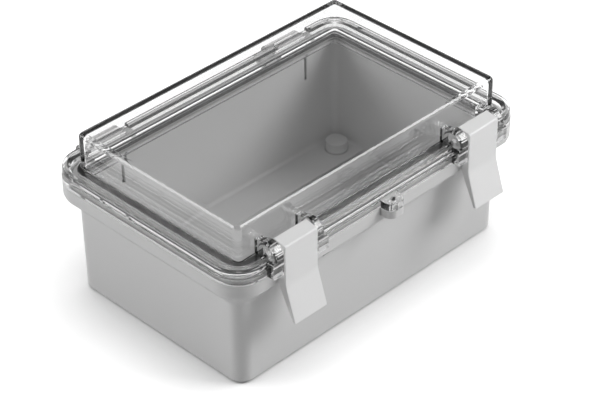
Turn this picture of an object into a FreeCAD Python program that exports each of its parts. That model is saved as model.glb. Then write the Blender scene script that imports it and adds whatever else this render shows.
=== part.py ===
import FreeCAD, Part
import math
import os

# Hinged enclosure with a clear domed lid, two swing latches in front and two hinges behind.
# All sizes are in millimetres. X runs along the long side, the latches face -Y, Z is up,
# and the origin is the middle of the underside of the base.
# An inset is a distance inwards from the outer face of the rim, the same on all four sides.

# Rim, shared by the base and the lid
rim_length = 150.0
rim_width = 100.0
rim_radius = 12.0
parting_height = 49.0
parting_gap = 0.3
total_height = 69.0

# Base walls, floor and rim
base_wall = 2.6
base_floor = 3.0
wall_inset_top = 5.8
wall_inset_foot = 6.4
foot_edge_cut = 1.2
floor_edge_cut = 2.0
rim_face_height = 5.6
rim_slope_height = 6.4
rim_slope_cut = 3.0
rim_lower_edge_cut = 1.8
rim_upper_edge_cut = 0.6
rim_land = 2.2
rim_channel_width = 2.0
rim_channel_depth = 2.4
tongue_setback = 0.4
tongue_width = 1.3
tongue_height = 1.5
wall_ledge = 0.2
small_round = 0.4

# Posts in the floor, each with a blind screw hole from below
post_inset_x = 16.0
post_inset_y = 17.0
post_diameter = 9.0
post_height = 4.6
post_edge_cut = 0.5
post_roof = 1.8
screw_hole_diameter = 4.2

# Sight grooves down the inside of the rear wall, one at each hinge
sight_groove_shift = 2.3
sight_groove_width = 1.4
sight_groove_depth = 0.9
sight_groove_length = 12.2
sight_groove_drop = 0.2

# Lid flange and dome
flange_thickness = 4.8
ridge_height = 1.5
ridge_setback = 0.4
ridge_top_width = 1.6
ridge_slope_width = 1.4
ridge_edge_cut = 0.4
lip_height = 2.8
lip_edge_cut = 0.4
side_groove_height = 1.5
side_groove_depth = 1.3
flange_core_width = 1.8
flange_core_height = 2.2
dome_inset = 8.0
dome_corner_radius = 2.3
dome_wall = 2.4
dome_roof = 2.4
dome_edge_radius = 2.0
dome_inner_corner = 1.0
dome_inner_cut = 0.6
dome_foot_cut = 0.6
spigot_depth = 0.4
spigot_clearance = 0.4

# Two small bridges across the side groove, on the left end of the lid
bridge_width = 1.6
bridge_first_place = 6.7
bridge_pitch = 14.0

# Gasket, pressed by the tongue of the base
gasket_height = 2.1
gasket_side_gap = 0.2
groove_clearance = 0.6

# Pins and running gaps
pin_diameter = 2.5
pin_seat_clearance = 0.02
pin_running_clearance = 0.05
pin_recess = 0.6
side_gap = 0.3

# Latches and hinges stand on the same two stations, counted from the ends of the rim
station_inset = 27.4
latch_width = 16.2

# Clear ears of the lid that hold a latch: a barrel, a web to the dome and a leg before the flange
ear_radius = 5.0
ear_barrel_thickness = 3.8
ear_barrel_cut = 1.1
ear_leg_thickness = 5.0
ear_leg_round = 1.2
ear_web_thickness = 3.0
ear_web_drop = 1.5
pivot_inset = 1.7
pivot_rise = 2.9

# Latch, drawn down from its pivot
latch_knuckle_radius = 3.2
latch_pocket_clearance = 0.4
latch_face_reach = 5.2
latch_crown_rise = 5.0
latch_crown_fall = 1.1
latch_crown_back = 0.5
latch_crown_radius = 0.9
latch_plate = 2.0
latch_bend_drop = 13.2
latch_bend_radius = 8.0
latch_tip_drop = 27.6
latch_flare = 4.6
latch_tip_thickness = 1.3
latch_side_cut = 0.35
latch_corner_radius = 1.2
latch_rib = 1.8
latch_rib_gap = 0.4
latch_back_drop = 3.0
latch_back_radius = 4.0

# Hook on the back of the latch, and its notch and pocket in the rim of the base
hook_clearance = 0.3
hook_reach = 3.0
hook_nose_height = 0.9
hook_height = 2.0
hook_notch_height = 1.7
hook_pocket_margin = 4.4
hook_pocket_splay = 2.5
hook_pocket_round = 1.5

# Hinges behind: clear knuckles of the lid between grey cheeks of the base
hinge_axis_offset = 4.2
hinge_axis_drop = 3.0
hinge_knuckle_radius = 3.0
hinge_knuckle_width = 16.6
hinge_cheek_width = 4.0
hinge_cheek_drop = 7.5
hinge_cheek_foot = 1.2
hinge_arm_thickness = 2.6
hinge_arm_clearance = 0.6
hinge_arm_bend = 3.6
hinge_notch_margin = 0.4

# Sealing eye in the middle of the front
eye_half_width = 4.1
eye_reach = 5.4
eye_corner_radius = 3.2
eye_lid_height = 3.0
eye_base_height = 3.2
eye_bore_diameter = 2.6
eye_bore_inset = 2.6

# Overlap that makes two joined forms one solid, and reach of a cut past the face it opens
weld = 0.3
past = 1.0

# Sizes worked out from the ones above
half_length = rim_length / 2
half_width = rim_width / 2
lid_bottom = parting_height + parting_gap
flange_top = lid_bottom + flange_thickness
ridge_top = flange_top + ridge_height
ridge_foot_inset = ridge_setback + ridge_top_width + ridge_slope_width
wall_inner_top = wall_inset_top + base_wall
wall_inner_foot = wall_inset_foot + base_wall
tongue_inset = wall_inset_top + tongue_setback
tongue_top = parting_height + tongue_height
groove_outer = tongue_inset - groove_clearance
groove_inner = wall_inner_top + spigot_clearance
cavity_inset = dome_inset + dome_wall
groove_roof = tongue_top + gasket_height
rim_bottom = parting_height - rim_face_height
rim_slope_foot = rim_bottom - rim_slope_height
hook_ceiling = rim_bottom + hook_notch_height
station_x = half_length - station_inset
stations = (("left", -station_x), ("right", station_x))
latch_slot = latch_width / 2 + side_gap
pivot_y = -(half_width - pivot_inset)
pivot_z = flange_top + pivot_rise
hinge_slot = hinge_knuckle_width / 2 + side_gap
hinge_y = half_width + hinge_axis_offset
hinge_z = parting_height - hinge_axis_drop
post_top = base_floor + post_height
eye_y = -(half_width + eye_bore_inset)
pin_radius = pin_diameter / 2


def vec(x, y, z):
    return FreeCAD.Vector(x, y, z)


def distance(a, b):
    return math.hypot(a[0] - b[0], a[1] - b[1])


def outline(points, place):
    """A closed face from (u, v) corners. A third value rounds a corner, or cuts it if below zero."""
    points = [point for index, point in enumerate(points) if distance(point, points[index - 1]) > 1e-6]
    count = len(points)
    radii = [abs(point[2]) if len(point) > 2 else 0.0 for point in points]
    starts, mids, ends = [], [], []
    for index, here in enumerate(points):
        before, after = points[index - 1], points[(index + 1) % count]
        a_len, b_len = distance(here, before), distance(here, after)
        ax, ay = (before[0] - here[0]) / a_len, (before[1] - here[1]) / a_len
        bx, by = (after[0] - here[0]) / b_len, (after[1] - here[1]) / b_len
        turn = math.acos(max(-1.0, min(1.0, ax * bx + ay * by)))
        radius = radii[index]
        if radius <= 0.0 or turn > math.pi - 1e-3:
            starts.append(here[:2])
            ends.append(here[:2])
            mids.append(None)
            continue
        share_a = a_len * radius / (radius + radii[index - 1])
        share_b = b_len * radius / (radius + radii[(index + 1) % count])
        reach = min(radius / math.tan(turn / 2), share_a, share_b)
        radius = reach * math.tan(turn / 2)
        depth = radius / math.sin(turn / 2) - radius
        middle = math.hypot(ax + bx, ay + by)
        starts.append((here[0] + ax * reach, here[1] + ay * reach))
        ends.append((here[0] + bx * reach, here[1] + by * reach))
        bulge = (here[0] + (ax + bx) / middle * depth, here[1] + (ay + by) / middle * depth)
        mids.append(bulge if here[2] > 0.0 else None)
    edges = []
    for index in range(count):
        if mids[index] is not None:
            bend = Part.Arc(place(*starts[index]), place(*mids[index]), place(*ends[index]))
            edges.append(bend.toShape())
        elif distance(starts[index], ends[index]) > 1e-6:
            edges.append(Part.LineSegment(place(*starts[index]), place(*ends[index])).toShape())
        following = starts[(index + 1) % count]
        if distance(following, ends[index]) > 1e-6:
            edges.append(Part.LineSegment(place(*ends[index]), place(*following)).toShape())
    return Part.Face(Part.Wire(edges))


def ring(points):
    """Run a section of (inset, height) corners round the rim: straight runs and turned corners."""
    run_x = half_length - rim_radius
    run_y = half_width - rim_radius
    front = outline(points, lambda inset, height: vec(-run_x, inset - half_width, height))
    front = front.extrude(vec(2 * run_x, 0, 0))
    side = outline(points, lambda inset, height: vec(half_length - inset, -run_y, height))
    side = side.extrude(vec(0, 2 * run_y, 0))
    first = outline(points, lambda inset, height: vec(run_x, inset - half_width, height))
    first = first.revolve(vec(run_x, -run_y, 0), vec(0, 0, 1), 90)
    second = outline(points, lambda inset, height: vec(half_length - inset, run_y, height))
    second = second.revolve(vec(run_x, run_y, 0), vec(0, 0, 1), 90)
    half = front.fuse([first, side, second])
    other = half.copy()
    other.rotate(vec(0, 0, 0), vec(0, 0, 1), 180)
    return half.fuse(other).removeSplitter()


def slab(inset, corner, low, high):
    """A plate with rounded corners, drawn in from the rim by an inset."""
    x, y = half_length - inset, half_width - inset
    points = [(-x, -y, corner), (x, -y, corner), (x, y, corner), (-x, y, corner)]
    return outline(points, lambda u, v: vec(u, v, low)).extrude(vec(0, 0, high - low))


def block(x_low, x_high, y_low, y_high, z_low, z_high):
    return Part.makeBox(x_high - x_low, y_high - y_low, z_high - z_low, vec(x_low, y_low, z_low))


def across(points, x_low, x_high):
    """A side view of (y, z) corners, pulled along X."""
    face = outline(points, lambda y, z: vec(x_low, y, z))
    return face.extrude(vec(x_high - x_low, 0, 0))


def through(points, y_low, y_high):
    """A front view of (x, z) corners, pulled along Y."""
    face = outline(points, lambda x, z: vec(x, y_low, z))
    return face.extrude(vec(0, y_high - y_low, 0))


def rod(radius, x_low, x_high, y, z):
    return Part.makeCylinder(radius, x_high - x_low, vec(x_low, y, z), vec(1, 0, 0))


def upright(radius, x, y, z_low, z_high):
    return Part.makeCylinder(radius, z_high - z_low, vec(x, y, z_low))


def rounded_end(solid, axis, place, radius):
    """Round the edges of a solid that lie in one plane across an axis, or cut them if below zero."""
    edges = []
    for edge in solid.Edges:
        box = edge.BoundBox
        low, high = getattr(box, axis + "Min"), getattr(box, axis + "Max")
        if abs(low - place) < 1e-3 and abs(high - place) < 1e-3:
            edges.append(edge)
    if radius < 0.0:
        return solid.makeChamfer(-radius, edges)
    return solid.makeFillet(radius, edges)


def both_sides(x, near, width):
    """The two spans along X that lie either side of a station, from near to near + width."""
    return (x - near - width, x - near), (x + near, x + near + width)


def eye_lug(low, high):
    reach = -(half_width + eye_reach)
    root = -(half_width - rim_land)
    points = [
        (-eye_half_width, root),
        (-eye_half_width, reach, eye_corner_radius),
        (eye_half_width, reach, eye_corner_radius),
        (eye_half_width, root),
    ]
    return outline(points, lambda x, y: vec(x, y, low)).extrude(vec(0, 0, high - low))


def base_shell():
    """Walls, rim and tongue in one section, closed below by the floor."""
    channel_out = rim_land + rim_channel_width
    channel_floor = parting_height - rim_channel_depth
    draft = (wall_inset_foot - wall_inset_top) / parting_height
    wall_under_rim = wall_inset_top + draft * (parting_height - rim_slope_foot)
    floor_inset = rim_radius - past
    section = [
        (floor_inset, 0.0),
        (wall_inset_foot, 0.0, -foot_edge_cut),
        (wall_under_rim, rim_slope_foot, -rim_slope_cut),
        (0.0, rim_bottom, -rim_lower_edge_cut),
        (0.0, parting_height, -rim_upper_edge_cut),
        (rim_land, parting_height),
        (rim_land, channel_floor),
        (channel_out, channel_floor),
        (channel_out, parting_height),
        (tongue_inset, parting_height),
        (tongue_inset, tongue_top, -small_round),
        (tongue_inset + tongue_width, tongue_top, -small_round),
        (tongue_inset + tongue_width, parting_height + wall_ledge),
        (wall_inner_top, parting_height + wall_ledge),
        (wall_inner_foot, base_floor, -floor_edge_cut),
        (floor_inset, base_floor),
    ]
    shell = ring(section)
    floor = slab(floor_inset - weld, past + weld, 0.0, base_floor)
    return shell.fuse(floor).removeSplitter()


def floor_post(x, y):
    post = upright(post_diameter / 2, x, y, base_floor - weld, post_top)
    return rounded_end(post, "Z", post_top, -post_edge_cut)


def hook_room(x):
    """The pocket under the rim for a latch hook, and the notch in the rim that its nose fills."""
    y_low = -(half_width + past)
    y_high = -(half_width - wall_inset_top) - weld
    low = rim_slope_foot - past
    half = latch_slot + ear_leg_thickness + hook_pocket_margin
    pocket = [
        (x - half - hook_pocket_splay, low),
        (x - half, rim_bottom, hook_pocket_round),
        (x + half, rim_bottom, hook_pocket_round),
        (x + half + hook_pocket_splay, low),
    ]
    notch = [
        (x - latch_slot, low),
        (x - latch_slot, hook_ceiling, small_round),
        (x + latch_slot, hook_ceiling, small_round),
        (x + latch_slot, low),
    ]
    return through(pocket, y_low, y_high).fuse(through(notch, y_low, y_high))


def hinge_cheeks(x):
    """Two grey cheeks behind the rim, each a round eye on a tapered root."""
    root = half_width - rim_land
    top = parting_height - parting_gap / 2
    side_view = [
        (root, top),
        (hinge_y, top),
        (hinge_y + hinge_knuckle_radius, hinge_z, small_round),
        (half_width + hinge_cheek_foot, parting_height - hinge_cheek_drop, past),
        (root, parting_height - hinge_cheek_drop - hinge_cheek_foot),
    ]
    cheeks = []
    for low, high in both_sides(x, hinge_slot, hinge_cheek_width):
        eye = rod(hinge_knuckle_radius, low, high, hinge_y, hinge_z)
        cheeks.append(across(side_view, low, high).fuse(eye).removeSplitter())
    return cheeks


def sight_groove(x):
    wall = half_width - wall_inner_top
    top = parting_height - sight_groove_drop
    middle = x + sight_groove_shift
    low, high = middle - sight_groove_width / 2, middle + sight_groove_width / 2
    return block(low, high, wall - past, wall + sight_groove_depth, top - sight_groove_length, top)


def make_base():
    shell = base_shell()
    for x in (-half_length + post_inset_x, half_length - post_inset_x):
        for y in (-half_width + post_inset_y, half_width - post_inset_y):
            shell = shell.fuse(floor_post(x, y))
            shell = shell.cut(upright(screw_hole_diameter / 2, x, y, -past, post_top - post_roof))
    for side, x in stations:
        shell = shell.cut([hook_room(x), sight_groove(x)]).fuse(hinge_cheeks(x))
        reach = hinge_slot + hinge_cheek_width + past
        shell = shell.cut(rod(pin_radius + pin_seat_clearance, x - reach, x + reach, hinge_y, hinge_z))
    shell = shell.fuse(eye_lug(parting_height - eye_base_height, parting_height))
    bore_low = parting_height - eye_base_height - past
    eye_bore = upright(eye_bore_diameter / 2, 0, eye_y, bore_low, parting_height + past)
    return shell.cut(eye_bore).removeSplitter()


def lid_shell():
    """Flange, side groove, ridge and gasket groove in one section, with the dome on it."""
    lip_top = lid_bottom + lip_height
    groove_top = lip_top + side_groove_height
    core_out = rim_land + flange_core_width
    core_top = lid_bottom + flange_core_height
    spigot_low = parting_height - spigot_depth
    inner = cavity_inset + weld
    section = [
        (0.0, lid_bottom),
        (0.0, lip_top, -lip_edge_cut),
        (side_groove_depth, lip_top),
        (side_groove_depth, groove_top),
        (ridge_setback, groove_top),
        (ridge_setback, ridge_top, -ridge_edge_cut),
        (ridge_setback + ridge_top_width, ridge_top, -ridge_edge_cut),
        (ridge_foot_inset, flange_top),
        (inner, flange_top),
        (inner, spigot_low),
        (groove_inner, spigot_low),
        (groove_inner, groove_roof),
        (groove_outer, groove_roof),
        (groove_outer, lid_bottom),
        (core_out, lid_bottom),
        (core_out, core_top),
        (rim_land, core_top),
        (rim_land, lid_bottom),
    ]
    dome = slab(dome_inset, dome_corner_radius, flange_top - weld, total_height)
    dome = rounded_end(dome, "Z", total_height, dome_edge_radius)
    shell = ring(section).fuse(dome).removeSplitter()
    foot = []
    for edge in shell.Edges:
        box = edge.BoundBox
        level = abs(box.ZMin - flange_top) + abs(box.ZMax - flange_top) < 1e-3
        reach_x, reach_y = max(box.XMax, -box.XMin), max(box.YMax, -box.YMin)
        inside = reach_x < half_length - dome_inset + weld and reach_y < half_width - dome_inset + weld
        if level and inside:
            foot.append(edge)
    shell = shell.makeChamfer(dome_foot_cut, foot)
    cavity = slab(cavity_inset, dome_inner_corner, spigot_low - past, total_height - dome_roof)
    cavity = rounded_end(cavity, "Z", total_height - dome_roof, -dome_inner_cut)
    return shell.cut(cavity).removeSplitter()


def latch_ears(x):
    """Two ears on the flange, either side of a latch."""
    front = pivot_y - ear_radius
    dome = -(half_width - dome_inset) + weld
    seat = flange_top - weld
    crown = pivot_z + ear_radius
    barrel_view = [
        (front, pivot_z - ear_radius),
        (front, crown, ear_radius),
        (pivot_y + ear_radius, crown, ear_radius),
        (pivot_y + ear_radius, pivot_z - ear_radius, ear_radius),
    ]
    web = [
        (pivot_y, seat),
        (pivot_y, crown - past / 2),
        (dome, crown - ear_web_drop, small_round),
        (dome, seat),
    ]
    ears = []
    for sign in (-1, 1):
        inner = x + sign * latch_slot
        spans = {
            "barrel": sorted((inner, inner + sign * ear_barrel_thickness)),
            "web": sorted((inner, inner + sign * ear_web_thickness)),
        }
        outer = inner + sign * ear_barrel_thickness
        barrel = rounded_end(across(barrel_view, *spans["barrel"]), "X", outer, -ear_barrel_cut)
        leg = [
            (inner, lid_bottom),
            (inner + sign * ear_leg_thickness, lid_bottom, small_round),
            (inner + sign * ear_leg_thickness, ridge_top, ear_leg_round),
            (inner, ridge_top),
        ]
        shin = through(leg, front, -(half_width - rim_land))
        ears.append(barrel.fuse([across(web, *spans["web"]), shin]).removeSplitter())
    return ears


def hinge_knuckle(x):
    """Clear knuckle behind the rim, held by an arm that bends down from the flange."""
    half = hinge_knuckle_width / 2
    underside = parting_height + hinge_arm_clearance
    top = underside + hinge_arm_thickness
    root = half_width - rim_land
    back = hinge_y + hinge_knuckle_radius
    side_view = [
        (root, underside),
        (half_width + hinge_arm_clearance, underside),
        (half_width + hinge_arm_clearance, hinge_z),
        (back, hinge_z),
        (back, top, hinge_arm_bend),
        (root, top),
    ]
    arm = across(side_view, x - half, x + half)
    return arm.fuse(rod(hinge_knuckle_radius, x - half, x + half, hinge_y, hinge_z)).removeSplitter()


def ridge_gaps(x):
    """What the flange loses for a latch in front and for a hinge arm behind."""
    pocket_radius = latch_knuckle_radius + latch_pocket_clearance
    pocket = rod(pocket_radius, x - latch_slot, x + latch_slot, pivot_y, pivot_z)
    reach = hinge_knuckle_width / 2 + hinge_notch_margin
    y_low = half_width - ridge_foot_inset
    return pocket, block(x - reach, x + reach, y_low, half_width + past, flange_top, ridge_top + past)


def groove_bridge(y):
    lip_top = lid_bottom + lip_height
    x_low = ridge_setback - half_length
    x_high = side_groove_depth + weld - half_length
    low, high = lip_top - weld, lip_top + side_groove_height + weld
    return block(x_low, x_high, y - bridge_width / 2, y + bridge_width / 2, low, high)


def make_lid():
    shell = lid_shell()
    for side, x in stations:
        shell = shell.cut(ridge_gaps(x)).fuse(latch_ears(x) + [hinge_knuckle(x)])
        reach = latch_slot + ear_leg_thickness
        latch_bore = rod(pin_radius + pin_seat_clearance, x - reach, x + reach, pivot_y, pivot_z)
        bore_radius = pin_radius + pin_running_clearance
        hinge_bore = rod(bore_radius, x - hinge_slot, x + hinge_slot, hinge_y, hinge_z)
        shell = shell.cut([latch_bore, hinge_bore])
    for place in range(2):
        shell = shell.fuse(groove_bridge(bridge_first_place + place * bridge_pitch))
    shell = shell.fuse(eye_lug(lid_bottom, lid_bottom + eye_lid_height))
    bore_high = lid_bottom + eye_lid_height + past
    eye_bore = upright(eye_bore_diameter / 2, 0, eye_y, lid_bottom - past, bore_high)
    return shell.cut(eye_bore).removeSplitter()


def make_gasket():
    outer = groove_outer + gasket_side_gap
    inner = groove_inner - gasket_side_gap
    section = [
        (outer, tongue_top),
        (inner, tongue_top),
        (inner, groove_roof),
        (outer, groove_roof),
    ]
    return ring(section)


def latch_views():
    """Side views of a latch: its full outline, the core left out between its ribs, and its hook."""
    face = pivot_y - latch_face_reach
    crown = pivot_z + latch_crown_rise
    bend = pivot_z - latch_bend_drop
    tip = pivot_z - latch_tip_drop
    back = -(half_width + latch_rib_gap)
    hook_top = hook_ceiling - hook_clearance
    hook_foot = hook_top - hook_height
    lean = latch_flare / (bend - tip)
    plate_back = face + latch_plate
    plate_at_hook = plate_back - lean * max(0.0, bend - hook_foot)
    nose = -half_width + hook_reach
    full = [
        (face, crown - latch_crown_fall, latch_crown_radius),
        (face, bend, latch_bend_radius),
        (face - latch_flare, tip, small_round),
        (face - latch_flare + latch_tip_thickness, tip, small_round),
        (plate_at_hook, hook_foot - latch_back_drop, latch_back_radius),
        (back, hook_foot),
        (back, pivot_z),
        (pivot_y + latch_knuckle_radius / 2, pivot_z),
        (pivot_y + latch_crown_back, crown, small_round),
    ]
    core_top = pivot_z - latch_knuckle_radius - weld
    core = [
        (plate_back, core_top, small_round),
        (plate_back, bend),
        (plate_at_hook, hook_foot + weld),
        (back + past, hook_foot + weld),
        (back + past, core_top),
    ]
    hook = [
        (plate_at_hook - weld, hook_foot),
        (back, hook_foot, small_round),
        (nose, hook_top - hook_nose_height, small_round),
        (nose, hook_top, small_round / 2),
        (back - past, hook_top),
        (plate_back - weld, hook_top + past),
    ]
    return full, core, hook


def make_latch(x):
    half = latch_width / 2
    full, core, hook = latch_views()
    latch = across(full, x - half, x + half)
    front_edges = []
    for edge in latch.Edges:
        box = edge.BoundBox
        flat = box.XMax - box.XMin < 1e-3
        if flat and box.YMax < pivot_y - latch_face_reach + weld and box.ZMax - box.ZMin > past:
            front_edges.append(edge)
    latch = latch.makeChamfer(latch_side_cut, front_edges)
    face_view = [
        (x - half, pivot_z + latch_crown_rise + past),
        (x + half, pivot_z + latch_crown_rise + past),
        (x + half, pivot_z - latch_tip_drop, latch_corner_radius),
        (x - half, pivot_z - latch_tip_drop, latch_corner_radius),
    ]
    front = pivot_y - latch_face_reach - latch_flare - past
    latch = latch.common(through(face_view, front, pivot_y + latch_knuckle_radius + past))
    latch = latch.fuse(rod(latch_knuckle_radius, x - half, x + half, pivot_y, pivot_z))
    latch = latch.cut(across(core, x - half + latch_rib, x + half - latch_rib))
    latch = latch.fuse(across(hook, x - half + latch_rib / 2, x + half - latch_rib / 2))
    bore = rod(pin_radius + pin_running_clearance, x - half - past, x + half + past, pivot_y, pivot_z)
    return latch.cut(bore).removeSplitter()


def make_latch_pin(x):
    half = latch_slot + ear_barrel_thickness - pin_recess
    return rod(pin_radius, x - half, x + half, pivot_y, pivot_z)


def make_hinge_pin(x):
    half = hinge_slot + hinge_cheek_width - pin_recess
    return rod(pin_radius, x - half, x + half, hinge_y, hinge_z)


os.makedirs("parts", exist_ok=True)
nodes = {"base": make_base(), "lid": make_lid(), "gasket": make_gasket()}
for side, x in stations:
    nodes["latch_" + side] = make_latch(x)
    nodes["latch_pin_" + side] = make_latch_pin(x)
    nodes["hinge_pin_" + side] = make_hinge_pin(x)
for name, shape in nodes.items():
    print(name, "solids", len(shape.Solids), "valid", shape.isValid(), "volume", round(shape.Volume, 1))
    shape.exportStep("parts/" + name + ".step")
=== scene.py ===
import math

import bmesh
import bpy
from mathutils import Matrix, Vector


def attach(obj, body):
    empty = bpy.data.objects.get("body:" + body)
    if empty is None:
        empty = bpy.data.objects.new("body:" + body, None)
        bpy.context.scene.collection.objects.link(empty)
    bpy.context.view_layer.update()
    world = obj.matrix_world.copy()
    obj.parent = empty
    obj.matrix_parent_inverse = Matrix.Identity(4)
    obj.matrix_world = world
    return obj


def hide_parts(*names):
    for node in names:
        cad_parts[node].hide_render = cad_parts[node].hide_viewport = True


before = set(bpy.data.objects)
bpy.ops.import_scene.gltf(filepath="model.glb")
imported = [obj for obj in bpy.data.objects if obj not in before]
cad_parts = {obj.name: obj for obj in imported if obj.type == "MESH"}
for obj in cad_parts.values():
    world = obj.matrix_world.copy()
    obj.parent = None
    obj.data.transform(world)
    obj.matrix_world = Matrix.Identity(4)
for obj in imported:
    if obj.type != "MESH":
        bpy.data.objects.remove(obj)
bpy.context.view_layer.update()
scene = bpy.context.scene


# Camera, at the place the photograph was taken from

camera = {
    "place": (-0.4674, -0.4759, 0.5045),
    "yaw": -44.783,  # degrees, 0 looks along +Y
    "elevation": 35.691,
    "roll": -0.603,
    "lens": 130.06,
    "sensor": 36.0,
    "clip": (0.05, 20.0),
}


def cameraAxes(values):
    yaw, lift, roll = (math.radians(values[name]) for name in ("yaw", "elevation", "roll"))
    aside, behind = math.sin(yaw) * math.cos(lift), -math.cos(yaw) * math.cos(lift)
    back = Vector((aside, behind, math.sin(lift)))
    level = Vector((math.cos(yaw), math.sin(yaw), 0.0))
    top = back.cross(level)
    right = math.cos(roll) * level + math.sin(roll) * top
    return right, math.cos(roll) * top - math.sin(roll) * level, back


def makeCamera(values):
    data = bpy.data.cameras.new("studioCamera")
    data.lens, data.sensor_width, data.sensor_fit = values["lens"], values["sensor"], "HORIZONTAL"
    data.clip_start, data.clip_end = values["clip"]
    cam = bpy.data.objects.new("studioCamera", data)
    scene.collection.objects.link(cam)
    turn = Matrix(cameraAxes(values)).transposed().to_4x4()
    cam.matrix_world = Matrix.Translation(values["place"]) @ turn
    scene.camera = cam


makeCamera(camera)
scene.view_settings.view_transform = "Standard"
print("camera placed")


# Short calls for node trees

def addNode(tree, kind, sets=(), feeds=()):
    node = tree.nodes.new(kind)
    for name, value in dict(sets).items():
        setattr(node, name, value)
    for name, value in dict(feeds).items():
        feed(tree, node.inputs[name], value)
    return node


def feed(tree, socket, value):
    if isinstance(value, bpy.types.NodeSocket):
        tree.links.new(value, socket)
    else:
        socket.default_value = value


def mathNode(tree, operation, first, second=0.0, clamp=False):
    sets = {"operation": operation, "use_clamp": clamp}
    return addNode(tree, "ShaderNodeMath", sets, {0: first, 1: second}).outputs[0]


def remap(tree, value, fromLow, fromHigh, toLow, toHigh, smooth=False):
    sets = {"interpolation_type": "SMOOTHSTEP" if smooth else "LINEAR"}
    feeds = {"Value": value, "From Min": fromLow, "From Max": fromHigh,
             "To Min": toLow, "To Max": toHigh}
    return addNode(tree, "ShaderNodeMapRange", sets, feeds).outputs["Result"]


def mixColour(tree, share, first, second):  # 6, 7 and 2 are the node's sockets for colours
    feeds = {0: share, 6: first, 7: second}
    return addNode(tree, "ShaderNodeMix", {"data_type": "RGBA"}, feeds).outputs[2]


def scaleColour(tree, colour, tone):
    feeds = {0: colour, "Scale": tone}
    return addNode(tree, "ShaderNodeVectorMath", {"operation": "SCALE"}, feeds).outputs[0]


def dotVectors(tree, first, second):
    sets = {"operation": "DOT_PRODUCT"}
    return addNode(tree, "ShaderNodeVectorMath", sets, {0: first, 1: second}).outputs["Value"]


def joinVector(tree, **parts):
    return addNode(tree, "ShaderNodeCombineXYZ", (), parts).outputs[0]


def grey(level):
    return (level, level, level, 1.0)


def newGroup(name, inputs, outputs, treeKind="ShaderNodeTree"):
    tree = bpy.data.node_groups.new(name, treeKind)
    for label, value in inputs:
        socket = tree.interface.new_socket(label, in_out="INPUT", socket_type="NodeSocketFloat")
        socket.default_value = value
    for label, kind in outputs:
        tree.interface.new_socket(label, in_out="OUTPUT", socket_type=kind)
    given, out = tree.nodes.new("NodeGroupInput"), tree.nodes.new("NodeGroupOutput")
    return tree, given.outputs, out.inputs


def placeGroup(tree, group, values):
    node = addNode(tree, "ShaderNodeGroup", {"node_tree": group})
    for label, value in values.items():
        feed(tree, node.inputs[label], value)
    return node.outputs


# Effects that several materials share

fineDetail, flowDetail = 2.0, 1.0
grainShare = 0.4  # of the fine grain in the tone, where the rest is flow marks
toneRange = (0.85, 1.15)  # of the tone at full contrast
heightRange = (0.3, 0.7)  # of the fine grain
highlightFrom, highlightFull = 0.995, 0.8  # cosines of the turn of a rounded normal
creaseFull, creaseNone = 0.35, 0.85  # how open a place is to its surroundings
highlightSamples, creaseSamples = 4, 8


def makeMouldGrain():  # the fine matt grain of a moulded face, with slow flow marks under it
    inputs = (("Grain Size", 0.0004), ("Flow Size", 0.03), ("Contrast", 0.03))
    outputs = (("Tone", "NodeSocketFloat"), ("Height", "NodeSocketFloat"))
    tree, given, out = newGroup("mouldGrain", inputs, outputs)
    place = addNode(tree, "ShaderNodeTexCoord").outputs["Object"]
    fineScale = mathNode(tree, "DIVIDE", 1.0, given["Grain Size"])
    flowScale = mathNode(tree, "DIVIDE", 1.0, given["Flow Size"])
    feeds = {"Vector": place, "Scale": fineScale, "Detail": fineDetail}
    fine = addNode(tree, "ShaderNodeTexNoise", (), feeds)
    feeds = {"Vector": place, "Scale": flowScale, "Detail": flowDetail}
    flow = addNode(tree, "ShaderNodeTexNoise", (), feeds)
    grain = mathNode(tree, "MULTIPLY", fine.outputs["Fac"], grainShare)
    marks = mathNode(tree, "MULTIPLY", flow.outputs["Fac"], 1.0 - grainShare)
    both = mathNode(tree, "ADD", grain, marks)
    spread = mathNode(tree, "MULTIPLY", mathNode(tree, "SUBTRACT", both, 0.5), given["Contrast"])
    feed(tree, out["Tone"], mathNode(tree, "ADD", 1.0, spread))
    feed(tree, out["Height"], fine.outputs["Fac"])
    return tree


def makeEdgeHighlight():  # mask of a painted highlight along edges, from how far a rounded normal turns, and that rounded normal
    inputs = (("Width", 0.0006), ("Strength", 0.5))
    outputs = (("Mask", "NodeSocketFloat"), ("Normal", "NodeSocketVector"))
    tree, given, out = newGroup("edgeHighlight", inputs, outputs)
    bevel = addNode(tree, "ShaderNodeBevel", {"samples": highlightSamples}, {"Radius": given["Width"]})
    face = addNode(tree, "ShaderNodeNewGeometry").outputs["Normal"]
    agree = dotVectors(tree, bevel.outputs[0], face)
    turned = remap(tree, agree, highlightFrom, highlightFull, 0.0, 1.0)
    feed(tree, out["Mask"], mathNode(tree, "MULTIPLY", turned, given["Strength"], clamp=True))
    feed(tree, out["Normal"], bevel.outputs[0])
    return tree


def makeCrease():  # painted shade: a tone that darkens the colour where a place lies in a gap or under an edge
    inputs = (("Reach", 0.0015), ("Depth", 0.6))
    tree, given, out = newGroup("creaseShade", inputs, (("Tone", "NodeSocketFloat"),))
    sets = {"samples": creaseSamples, "only_local": True}  # as the lid over the base lets light in
    around = addNode(tree, "ShaderNodeAmbientOcclusion", sets, {"Distance": given["Reach"]})
    shade = remap(tree, around.outputs["AO"], creaseFull, creaseNone, given["Depth"], 0.0)
    feed(tree, out["Tone"], mathNode(tree, "SUBTRACT", 1.0, shade))
    return tree


mouldGrain = makeMouldGrain()
edgeHighlight = makeEdgeHighlight()
creaseShade = makeCrease()
print("shared effects built")


# Materials

def newMaterial(name):
    material = bpy.data.materials.new(name)
    material.use_nodes = True
    tree = material.node_tree
    return material, tree, tree.nodes["Principled BSDF"]


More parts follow.
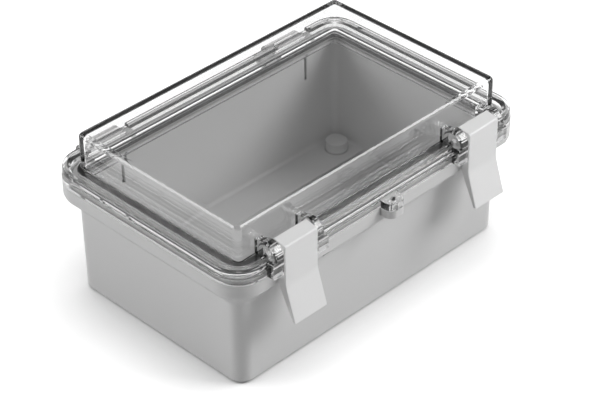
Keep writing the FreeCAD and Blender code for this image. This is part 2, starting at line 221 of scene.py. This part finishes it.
greyPlastic = {"colour": 0.60, "paintedHighlight": 0.70, "smoothest": 0.38, "roughest": 0.47,
               "grain": 0.00045, "depth": 0.000012, "contrast": 0.05}
latchPlastic = {"colour": 0.76, "paintedHighlight": 0.84, "smoothest": 0.34, "roughest": 0.43,
                "grain": 0.00045, "depth": 0.000010, "contrast": 0.04}
# painted edge highlight: how wide the band along edges is, and how strongly it is lightened
paintedEdgeHighlight = {"Width": 0.0005, "Strength": 0.5}
gapShade = {"Reach": 0.0015, "Depth": 0.65}


def makeOpaquePlastic(name, values):
    material, tree, skin = newMaterial(name)
    sizes = {"Grain Size": values["grain"], "Contrast": values["contrast"]}
    grain = placeGroup(tree, mouldGrain, sizes)
    edgeShine = placeGroup(tree, edgeHighlight, paintedEdgeHighlight)
    # painted highlight: the colour is lightened along edges towards a paler grey
    colour = mixColour(tree, edgeShine["Mask"], grey(values["colour"]), grey(values["paintedHighlight"]))
    # painted shade: the colour is darkened in gaps and creases, on top of the grain's tone
    crease = placeGroup(tree, creaseShade, gapShade)
    tone = mathNode(tree, "MULTIPLY", grain["Tone"], crease["Tone"])
    feed(tree, skin.inputs["Base Color"], scaleColour(tree, colour, tone))
    rough = remap(tree, grain["Height"], *heightRange, values["smoothest"], values["roughest"])
    feed(tree, skin.inputs["Roughness"], rough)
    feeds = {"Distance": values["depth"], "Height": grain["Height"], "Normal": edgeShine["Normal"]}
    bump = addNode(tree, "ShaderNodeBump", (), feeds)
    feed(tree, skin.inputs["Normal"], bump.outputs[0])
    return material


clearPlastic = {"tint": 0.975, "ior": 1.586, "smoothest": 0.004, "roughest": 0.016,
                "grain": 0.004, "flow": 0.02,
                "lampPass": 0.94,  # shares of lamp light and soft light that go straight through
                "softPass": 0.97}


def makeClearPlastic(name, values):
    material, tree, skin = newMaterial(name)
    skin.inputs["Base Color"].default_value = grey(values["tint"])
    skin.inputs["Transmission Weight"].default_value = 1.0
    skin.inputs["IOR"].default_value = values["ior"]
    sizes = {"Grain Size": values["grain"], "Flow Size": values["flow"], "Contrast": 1.0}
    grain = placeGroup(tree, mouldGrain, sizes)
    rough = remap(tree, grain["Tone"], *toneRange, values["smoothest"], values["roughest"])
    feed(tree, skin.inputs["Roughness"], rough)
    ray = addNode(tree, "ShaderNodeLightPath").outputs
    lamp = mathNode(tree, "MULTIPLY", ray["Is Shadow Ray"], values["lampPass"])
    soft = mathNode(tree, "MULTIPLY", ray["Is Diffuse Ray"], values["softPass"])
    through = mathNode(tree, "MAXIMUM", lamp, soft)
    feed(tree, skin.inputs["Alpha"], mathNode(tree, "SUBTRACT", 1.0, through))
    return material


rubber = {"colour": 0.02, "bloom": 0.045, "roughness": 0.62, "specular": 0.1,
          "grain": 0.0006, "flow": 0.008, "depth": 0.00004}


def makeRubber(name, values):
    material, tree, skin = newMaterial(name)
    sizes = {"Grain Size": values["grain"], "Flow Size": values["flow"], "Contrast": 1.0}
    grain = placeGroup(tree, mouldGrain, sizes)
    share = remap(tree, grain["Tone"], *toneRange, 0.0, 1.0)
    colour = mixColour(tree, share, grey(values["colour"]), grey(values["bloom"]))
    feed(tree, skin.inputs["Base Color"], colour)
    skin.inputs["Roughness"].default_value = values["roughness"]
    skin.inputs["Specular IOR Level"].default_value = values["specular"]
    feeds = {"Distance": values["depth"], "Height": grain["Height"]}
    bump = addNode(tree, "ShaderNodeBump", (), feeds)
    feed(tree, skin.inputs["Normal"], bump.outputs[0])
    return material


steel = {"colour": 0.58, "smoothest": 0.2, "roughest": 0.38,
         "grain": 0.0003, "flow": 0.004, "contrast": 0.3}


def makeSteel(name, values):
    material, tree, skin = newMaterial(name)
    sizes = {"Grain Size": values["grain"], "Flow Size": values["flow"],
             "Contrast": values["contrast"]}
    grain = placeGroup(tree, mouldGrain, sizes)
    colour = scaleColour(tree, grey(values["colour"])[:3], grain["Tone"])
    feed(tree, skin.inputs["Base Color"], colour)
    skin.inputs["Metallic"].default_value = 1.0
    rough = remap(tree, grain["Height"], *heightRange, values["smoothest"], values["roughest"])
    feed(tree, skin.inputs["Roughness"], rough)
    return material


finishes = {
    "grey_plastic": makeOpaquePlastic("greyPlastic", greyPlastic),
    "latch_plastic": makeOpaquePlastic("latchPlastic", latchPlastic),
    "clear_plastic": makeClearPlastic("clearPlastic", clearPlastic),
    "gasket_rubber": makeRubber("gasketRubber", rubber),
    "pin_steel": makeSteel("pinSteel", steel),
}
print("materials built")


# Moulded pieces, from the solids of the frame with their facets joined and shaded smooth

moulded = {
    "base": ("baseTray", "grey_plastic", "base"),
    "lid": ("clearLid", "clear_plastic", "lid"),
    "latch_left": ("latchLeft", "latch_plastic", "latch_left"),
    "latch_right": ("latchRight", "latch_plastic", "latch_right"),
}
creaseAngle = math.radians(46)  # just over the 45 of a cut edge, so cuts shade as rounds
joinGap = 2e-6  # between corners that become one
flatMatch = 0.99999  # cosine between two facets of one flat part
areaPower = 4  # how far the largest part outweighs the others at a corner


def joinFacets(mesh):
    shell = bmesh.new()
    shell.from_mesh(mesh)
    bmesh.ops.remove_doubles(shell, verts=shell.verts, dist=joinGap)
    shell.to_mesh(mesh)
    shell.free()
    mesh.shade_smooth()
    mesh.set_sharp_from_angle(angle=creaseAngle)


def flatParts(shell):  # number of the flat part that each face lies in, and the area of each part
    part, area = {}, []
    for start in shell.faces:
        if start in part:
            continue
        part[start], waiting, total = len(area), [start], 0.0
        while waiting:
            face = waiting.pop()
            total += face.calc_area()
            for edge in face.edges:
                for other in edge.link_faces:
                    if other not in part and face.normal.dot(other.normal) > flatMatch:
                        part[other] = len(area)
                        waiting.append(other)
        area.append(total)
    return part, area


def evenNormals(mesh):  # large flat parts keep their normal, and a narrow cut turns between them
    shell = bmesh.new()
    shell.from_mesh(mesh)
    shell.normal_update()
    part, area = flatParts(shell)
    normals = [None] * len(mesh.loops)
    for face in shell.faces:
        for loop in face.loops:
            fan, waiting = {face}, [face]
            while waiting:
                here = waiting.pop()
                for edge in here.edges:
                    if not edge.smooth or loop.vert not in edge.verts:
                        continue
                    for other in edge.link_faces:
                        if other not in fan:
                            fan.add(other)
                            waiting.append(other)
            ways = {part[each]: each.normal for each in fan}
            largest = max(area[number] for number in ways)
            pulls = [(area[number] / largest) ** areaPower * way for number, way in ways.items()]
            normals[loop.index] = sum(pulls, Vector()).normalized()
    shell.free()
    mesh.normals_split_custom_set(normals)


def makeMoulded(node, name, finish, body):
    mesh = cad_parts[node].data.copy()
    if "custom_normal" in mesh.attributes:
        mesh.attributes.remove(mesh.attributes["custom_normal"])
    joinFacets(mesh)
    evenNormals(mesh)
    piece = bpy.data.objects.new(name, mesh)
    scene.collection.objects.link(piece)
    mesh.materials.clear()
    mesh.materials.append(finishes[finish])
    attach(piece, body)
    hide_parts(node)


for node, (name, finish, body) in moulded.items():
    makeMoulded(node, name, finish, body)
print("moulded pieces made")


# Seal ring and pins, drawn along their paths with Geometry Nodes

grownCrease = math.radians(35)
grownGap = 1e-6  # between corners that become one
cornerSteps, softSteps, pinSides = 12, 4, 40


def newTree(name, values):
    return newGroup(name, values.items(), (("Geometry", "NodeSocketGeometry"),), "GeometryNodeTree")


def shapeNode(tree, kind, feeds, mode=None):
    sets = {"mode": mode} if mode else {}
    return addNode(tree, "GeometryNode" + kind, sets, feeds).outputs[0]


def finishTree(tree, out, shape, finish):
    whole = shapeNode(tree, "RealizeInstances", {"Geometry": shape})
    feeds = {"Geometry": whole, "Material": finishes[finish]}
    feed(tree, out["Geometry"], shapeNode(tree, "SetMaterial", feeds))


def growPiece(name, tree, values, body, nodes):
    holder = bpy.data.objects.new(name + "Grown", bpy.data.meshes.new(name + "Seed"))
    scene.collection.objects.link(holder)
    modifier = holder.modifiers.new("grow", "NODES")
    modifier.node_group = tree
    for item in tree.interface.items_tree:
        if item.in_out == "INPUT" and item.name in values:
            modifier[item.identifier] = values[item.name]
    ready = holder.evaluated_get(bpy.context.evaluated_depsgraph_get())
    grown = bpy.data.meshes.new_from_object(ready)
    holder.modifiers.clear()
    bpy.data.objects.remove(holder)
    shell = bmesh.new()
    shell.from_mesh(grown)
    bmesh.ops.remove_doubles(shell, verts=shell.verts, dist=grownGap)
    bmesh.ops.recalc_face_normals(shell, faces=shell.faces)
    shell.to_mesh(grown)
    shell.free()
    grown.shade_smooth()
    grown.set_sharp_from_angle(angle=grownCrease)
    piece = bpy.data.objects.new(name, grown)
    scene.collection.objects.link(piece)
    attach(piece, body)
    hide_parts(*nodes)


sealRing = {"Length": 0.1356, "Width": 0.0856, "Corner": 0.0048,
            "Depth": 0.0028, "Height": 0.0021, "Soft": 0.0004,
            "Level": 0.05159}  # pressed 0.04 mm into the lid, so no two faces coincide


def roundedLoop(tree, width, height, corner, steps):
    loop = shapeNode(tree, "CurvePrimitiveQuadrilateral", {"Width": width, "Height": height})
    return shapeNode(tree, "FilletCurve", {"Curve": loop, "Count": steps, "Radius": corner}, "POLY")


def makeSealTree():  # a soft strip swept round the groove
    tree, given, out = newTree("sealStrip", sealRing)
    path = roundedLoop(tree, given["Length"], given["Width"], given["Corner"], cornerSteps)
    strip = roundedLoop(tree, given["Depth"], given["Height"], given["Soft"], softSteps)
    swept = shapeNode(tree, "CurveToMesh", {"Curve": path, "Profile Curve": strip})
    lift = joinVector(tree, Z=given["Level"])
    raised = shapeNode(tree, "Transform", {"Geometry": swept, "Translation": lift})
    finishTree(tree, out, raised, "gasket_rubber")
    return tree


growPiece("sealRing", makeSealTree(), sealRing, "lid", ["gasket"])

latchPins = {"Radius": 0.00125, "Reach": 0.0116, "Point": 0.0004,
             "Station": 0.0476, "Behind": -0.0483, "Level": 0.057}
hingePins = {"Radius": 0.00125, "Reach": 0.012, "Point": 0.0004,
             "Station": 0.0476, "Behind": 0.0542, "Level": 0.046}


def makePinTree():  # one turned pin with cut ends, on both stations
    tree, given, out = newTree("pinPair", latchPins)
    stub = mathNode(tree, "SUBTRACT", given["Reach"], given["Point"])
    narrow = mathNode(tree, "SUBTRACT", given["Radius"], given["Point"])
    line = shapeNode(tree, "MeshLine", {"Count": 4}, "OFFSET")
    index = shapeNode(tree, "InputIndex", {})
    across = mathNode(tree, "SUBTRACT", index, 1.5)  # two rings lie on each side of the middle
    inner = mathNode(tree, "COMPARE", mathNode(tree, "ABSOLUTE", across), 0.5)
    reach = remap(tree, inner, 0.0, 1.0, given["Reach"], stub)
    along = mathNode(tree, "MULTIPLY", mathNode(tree, "SIGN", across), reach)
    line = shapeNode(tree, "SetPosition", {"Geometry": line, "Position": joinVector(tree, X=along)})
    line = shapeNode(tree, "MeshToCurve", {"Mesh": line})
    girth = remap(tree, inner, 0.0, 1.0, narrow, given["Radius"])
    feeds = {"Resolution": pinSides, "Radius": 1.0}
    hoop = shapeNode(tree, "CurvePrimitiveCircle", feeds, "RADIUS")
    feeds = {"Curve": line, "Profile Curve": hoop, "Scale": girth, "Fill Caps": True}
    pin = shapeNode(tree, "CurveToMesh", feeds)
    left = mathNode(tree, "MULTIPLY", given["Station"], -1.0)
    first = joinVector(tree, X=left, Y=given["Behind"], Z=given["Level"])
    pitch = joinVector(tree, X=mathNode(tree, "MULTIPLY", given["Station"], 2.0))
    feeds = {"Count": 2, "Start Location": first, "Offset": pitch}
    spots = shapeNode(tree, "MeshLine", feeds, "OFFSET")
    placed = shapeNode(tree, "InstanceOnPoints", {"Points": spots, "Instance": pin})
    finishTree(tree, out, placed, "pin_steel")
    return tree


pinPair = makePinTree()
growPiece("latchPins", pinPair, latchPins, "lid",
          ["latch_pin_left", "latch_pin_right"])
growPiece("hingePins", pinPair, hingePins, "base",
          ["hinge_pin_left", "hinge_pin_right"])
print("seal ring and pins made")


# Floor, lamps and background

studio = {
    "floorSize": 6.0,
    "floorColour": 0.68,
    "floorLift": 0.74,  # what the camera sees on top of the lit floor, so that it goes white
    "floorRoughness": 0.9,
    "glossShare": 0.5,  # how much of the lift gloss sees
    "contactShadowReach": 0.032,  # painted contact shadow: how far from the object the lift is held back
    "contactShadowDepth": 1.5,
    "contactShadowSamples": 12,
    "worldSoft": 0.19,  # soft light of the room on every surface
    "glossCeiling": 0.12,  # the upper part of the room, as gloss sees it
    "glassCeiling": 0.7,  # and as it is seen through clear plastic
    "panelShare": 0.5,  # brightness of a panel per watt of its lamp
    "panelEdge": 0.935,  # cosines of the angle from a lamp's middle
    "panelCore": 0.965,
    "ceilingFrom": 0.16,  # height of the sky direction where white begins to fade
    "ceilingTo": 0.50,  # and where the fading ends
    "lampAim": (0.0, 0.0, 0.03),
}

lamps = {
    "leftBox": {"place": (-0.90, 0.85, 0.55), "size": (0.9, 0.7), "power": 10.4},
    "rightBox": {"place": (0.90, -0.78, 0.80), "size": (0.9, 0.7), "power": 16.9},
    "topBox": {"place": (0.2, 0.3, 1.3), "size": (0.8, 0.8), "power": 2.0},
}


def makeFloor(values):
    half = values["floorSize"] / 2
    mesh = bpy.data.meshes.new("studioFloor")
    corners = [(-half, -half, 0), (half, -half, 0), (half, half, 0), (-half, half, 0)]
    mesh.from_pydata(corners, [], [(0, 1, 2, 3)])
    floor = bpy.data.objects.new("studioFloor", mesh)
    scene.collection.objects.link(floor)
    material, tree, skin = newMaterial("studioPaper")
    skin.inputs["Base Color"].default_value = grey(values["floorColour"])
    skin.inputs["Roughness"].default_value = values["floorRoughness"]
    skin.inputs["Specular IOR Level"].default_value = 0.0
    ray = addNode(tree, "ShaderNodeLightPath").outputs
    gloss = mathNode(tree, "MULTIPLY", ray["Is Glossy Ray"], values["glossShare"])
    seen = mathNode(tree, "MAXIMUM", ray["Is Camera Ray"], ray["Is Transmission Ray"])
    seen = mathNode(tree, "MAXIMUM", seen, gloss)
    skin.inputs["Emission Color"].default_value = grey(1.0)
    # painted contact shadow: near the object the lift is held back, so the floor is darker there
    sets, feeds = {"samples": values["contactShadowSamples"]}, {"Distance": values["contactShadowReach"]}
    contact = addNode(tree, "ShaderNodeAmbientOcclusion", sets, feeds)
    closed = mathNode(tree, "SUBTRACT", 1.0, contact.outputs["AO"])
    shadowLoss = mathNode(tree, "MULTIPLY", closed, values["contactShadowDepth"])
    left = mathNode(tree, "SUBTRACT", 1.0, shadowLoss, clamp=True)
    lift = mathNode(tree, "MULTIPLY", left, values["floorLift"])
    feed(tree, skin.inputs["Emission Strength"], mathNode(tree, "MULTIPLY", seen, lift))
    mesh.materials.append(material)


def makeWorld(values):
    world = bpy.data.worlds.new("studioWorld")
    world.use_nodes = True
    scene.world = world
    tree = world.node_tree
    way = addNode(tree, "ShaderNodeTexCoord").outputs["Generated"]
    height = addNode(tree, "ShaderNodeSeparateXYZ", (), {"Vector": way}).outputs["Z"]
    ray = addNode(tree, "ShaderNodeLightPath").outputs
    level, plain = ray["Is Camera Ray"], ray["Is Camera Ray"]
    panels = 0.0
    for lamp in lamps.values():  # a bright panel where each lamp hangs, mirrored by outer faces
        aim, shine = Vector(lamp["place"]).normalized(), lamp["power"] * values["panelShare"]
        edge, core = values["panelEdge"], values["panelCore"]
        panel = remap(tree, dotVectors(tree, way, aim), edge, core, 0.0, shine, smooth=True)
        panels = mathNode(tree, "MAXIMUM", panel, panels)
    outer = mathNode(tree, "LESS_THAN", ray["Transmission Depth"], 0.5)  # through no plastic yet
    outer = mathNode(tree, "MULTIPLY", ray["Is Glossy Ray"], outer)
    panels = mathNode(tree, "MULTIPLY", panels, outer)
    level = mathNode(tree, "MAXIMUM", level, panels)
    low, high = values["ceilingFrom"], values["ceilingTo"]
    kinds = {"Is Glossy Ray": "glossCeiling", "Is Transmission Ray": "glassCeiling"}
    for seen, ceiling in kinds.items():
        shown = remap(tree, height, low, high, 1.0, values[ceiling], smooth=True)
        level = mathNode(tree, "MAXIMUM", level, mathNode(tree, "MULTIPLY", ray[seen], shown))
        plain = mathNode(tree, "MAXIMUM", plain, ray[seen])
    rest = mathNode(tree, "SUBTRACT", 1.0, plain)
    soft = mathNode(tree, "MULTIPLY", rest, values["worldSoft"])
    background = tree.nodes["Background"]
    background.inputs["Color"].default_value = grey(1.0)
    feed(tree, background.inputs["Strength"], mathNode(tree, "ADD", level, soft))


def makeLamp(name, values):
    data = bpy.data.lights.new(name, "AREA")
    data.shape = "RECTANGLE"
    data.size, data.size_y = values["size"]
    data.energy = values["power"]
    lamp = bpy.data.objects.new(name, data)
    lamp.visible_transmission = False
    lamp.visible_glossy = False  # outer gloss sees the room's panels in place of the lamps
    scene.collection.objects.link(lamp)
    place = Vector(values["place"])
    turn = (Vector(studio["lampAim"]) - place).to_track_quat("-Z", "Y")
    lamp.matrix_world = Matrix.Translation(place) @ turn.to_matrix().to_4x4()


makeFloor(studio)
makeWorld(studio)
for name, values in lamps.items():
    makeLamp(name, values)
print("studio ready")
